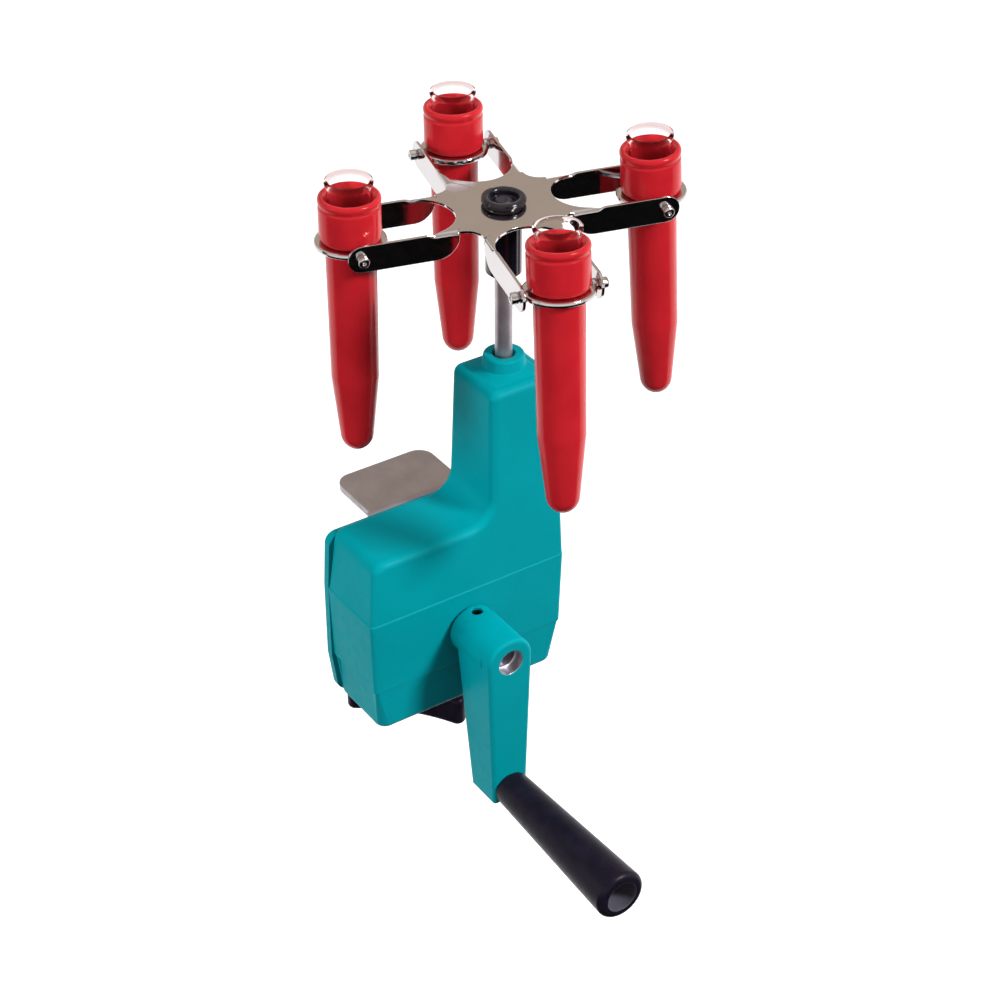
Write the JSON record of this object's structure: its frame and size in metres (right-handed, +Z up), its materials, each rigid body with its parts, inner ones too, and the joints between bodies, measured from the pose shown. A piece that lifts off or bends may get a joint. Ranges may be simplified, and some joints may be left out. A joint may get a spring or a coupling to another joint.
{
  "type": "hand crank centrifuge",
  "caption": "Hand-cranked bench centrifuge: cast housing with edge clamp, side crank with turning grip, geared spindle, pressed star rotor, swing-out buckets and glass tubes.",
  "frame": {"origin": "point on the bench top under the middle of the fixed jaw, level with the clamp screw", "axes": "+Z up along the spindle, -Y towards the crank handle, +X from the crank axis towards the spindle"},
  "size_m": [0.1468, 0.1978, 0.2728],
  "materials": {
    "housing_paint": "gloss",
    "jaw_steel": "satin",
    "zinc_steel": "satin",
    "bright_steel": "satin",
    "black_steel": "satin",
    "bush_bronze": "satin",
    "wheel_brass": "satin",
    "hub_black": "gloss",
    "rotor_chrome": "polished",
    "bucket_red": "gloss",
    "cushion_rubber": "matte",
    "tube_glass": "gloss",
    "black_plastic": "satin"
  },
  "bodies": {
    "base": {"housing": "housing_paint", "rear_cover": "housing_paint", "crank_bush_front": "bush_bronze", "crank_bush_rear": "bush_bronze", "spindle_bush_top": "bush_bronze", "spindle_bush_foot": "bush_bronze", "clamp_bracket": "jaw_steel", "clamp_nut": "jaw_steel", "cover_screws": "zinc_steel"},
    "clamp_pad": {"clamp_pad": "zinc_steel"},
    "clamp_screw": {"clamp_screw": "zinc_steel", "clamp_knob": "black_plastic"},
    "crank": {"crank_shaft": "bright_steel", "crank_wheel": "wheel_brass", "crank_arm": "housing_paint", "set_screw": "black_steel", "handle_bolt": "zinc_steel"},
    "grip": {"handle_grip": "black_plastic"},
    "rotor": {"spindle": "bright_steel", "spindle_pinion": "bright_steel", "spindle_collar": "bright_steel", "hub_sleeve": "hub_black", "rotor_star": "rotor_chrome", "hub_nut": "hub_black"},
    "swing_1": {"ring_1": "rotor_chrome", "ring_pins_1": "rotor_chrome", "bucket_1": "bucket_red", "cushion_1": "cushion_rubber"},
    "tube_1": {"tube_1": "tube_glass"},
    "swing_2": {"ring_2": "rotor_chrome", "ring_pins_2": "rotor_chrome", "bucket_2": "bucket_red", "cushion_2": "cushion_rubber"},
    "tube_2": {"tube_2": "tube_glass"},
    "swing_3": {"ring_3": "rotor_chrome", "ring_pins_3": "rotor_chrome", "bucket_3": "bucket_red", "cushion_3": "cushion_rubber"},
    "tube_3": {"tube_3": "tube_glass"},
    "swing_4": {"ring_4": "rotor_chrome", "ring_pins_4": "rotor_chrome", "bucket_4": "bucket_red", "cushion_4": "cushion_rubber"},
    "tube_4": {"tube_4": "tube_glass"}
  },
  "joints": [
    {"name": "crank_spin", "type": "hinge", "parent": "base", "child": "crank", "pos_m": [0, -0.033, -0.0379], "axis": [0, 1, 0], "continuous": true},
    {"name": "rotor_spin", "type": "hinge", "parent": "base", "child": "rotor", "pos_m": [0.0286, -0.033, 0.1327], "axis": [0, 0, 1], "continuous": true},
    {"name": "grip_spin", "type": "hinge", "parent": "crank", "child": "grip", "pos_m": [0, -0.133, -0.1033], "axis": [0, 1, 0], "continuous": true},
    {"name": "clamp_travel", "type": "slide", "parent": "base", "child": "clamp_pad", "axis": [0, 0, 1], "range_m": [-0.03, 0.019]},
    {"name": "clamp_turn", "type": "hinge", "parent": "clamp_pad", "child": "clamp_screw", "pos_m": [0.0037, 0, -0.06], "axis": [0, 0, 1], "range_deg": [-7210, 4570]},
    {"name": "swing_1", "type": "hinge", "parent": "rotor", "child": "swing_1", "pos_m": [0.01333, -0.09102, 0.1327], "axis": [-0.9671, 0.2544, 0], "range_deg": [-20.2, 84.8]},
    {"name": "tube_lift_1", "type": "slide", "parent": "swing_1", "child": "tube_1", "axis": [0.0231, 0.0877, 0.9959], "range_m": [0, 0.012]},
    {"name": "swing_2", "type": "hinge", "parent": "rotor", "child": "swing_2", "pos_m": [0.08662, -0.04827, 0.1327], "axis": [-0.2544, -0.9671, 0], "range_deg": [-18.6, 86.4]},
    {"name": "tube_lift_2", "type": "slide", "parent": "swing_2", "child": "tube_2", "axis": [-0.0607, 0.016, 0.998], "range_m": [0, 0.012]},
    {"name": "swing_3", "type": "hinge", "parent": "rotor", "child": "swing_3", "pos_m": [0.04387, 0.02502, 0.1327], "axis": [0.9671, -0.2544, 0], "range_deg": [-13.3, 91.7]},
    {"name": "tube_lift_3", "type": "slide", "parent": "swing_3", "child": "tube_3", "axis": [0.0075, 0.0287, 0.9996], "range_m": [0, 0.012]},
    {"name": "swing_4", "type": "hinge", "parent": "rotor", "child": "swing_4", "pos_m": [-0.02942, -0.01773, 0.1327], "axis": [0.2544, 0.9671, 0], "range_deg": [-15.3, 89.7]},
    {"name": "tube_lift_4", "type": "slide", "parent": "swing_4", "child": "tube_4", "axis": [0.0051, -0.0013, 1], "range_m": [0, 0.012]}
  ],
  "couplings": [
    {"joint": "rotor_spin", "follows": "crank_spin", "ratio": -10},
    {"joint": "clamp_turn", "follows": "clamp_travel", "rad_per_m": 4188.8}
  ]
}
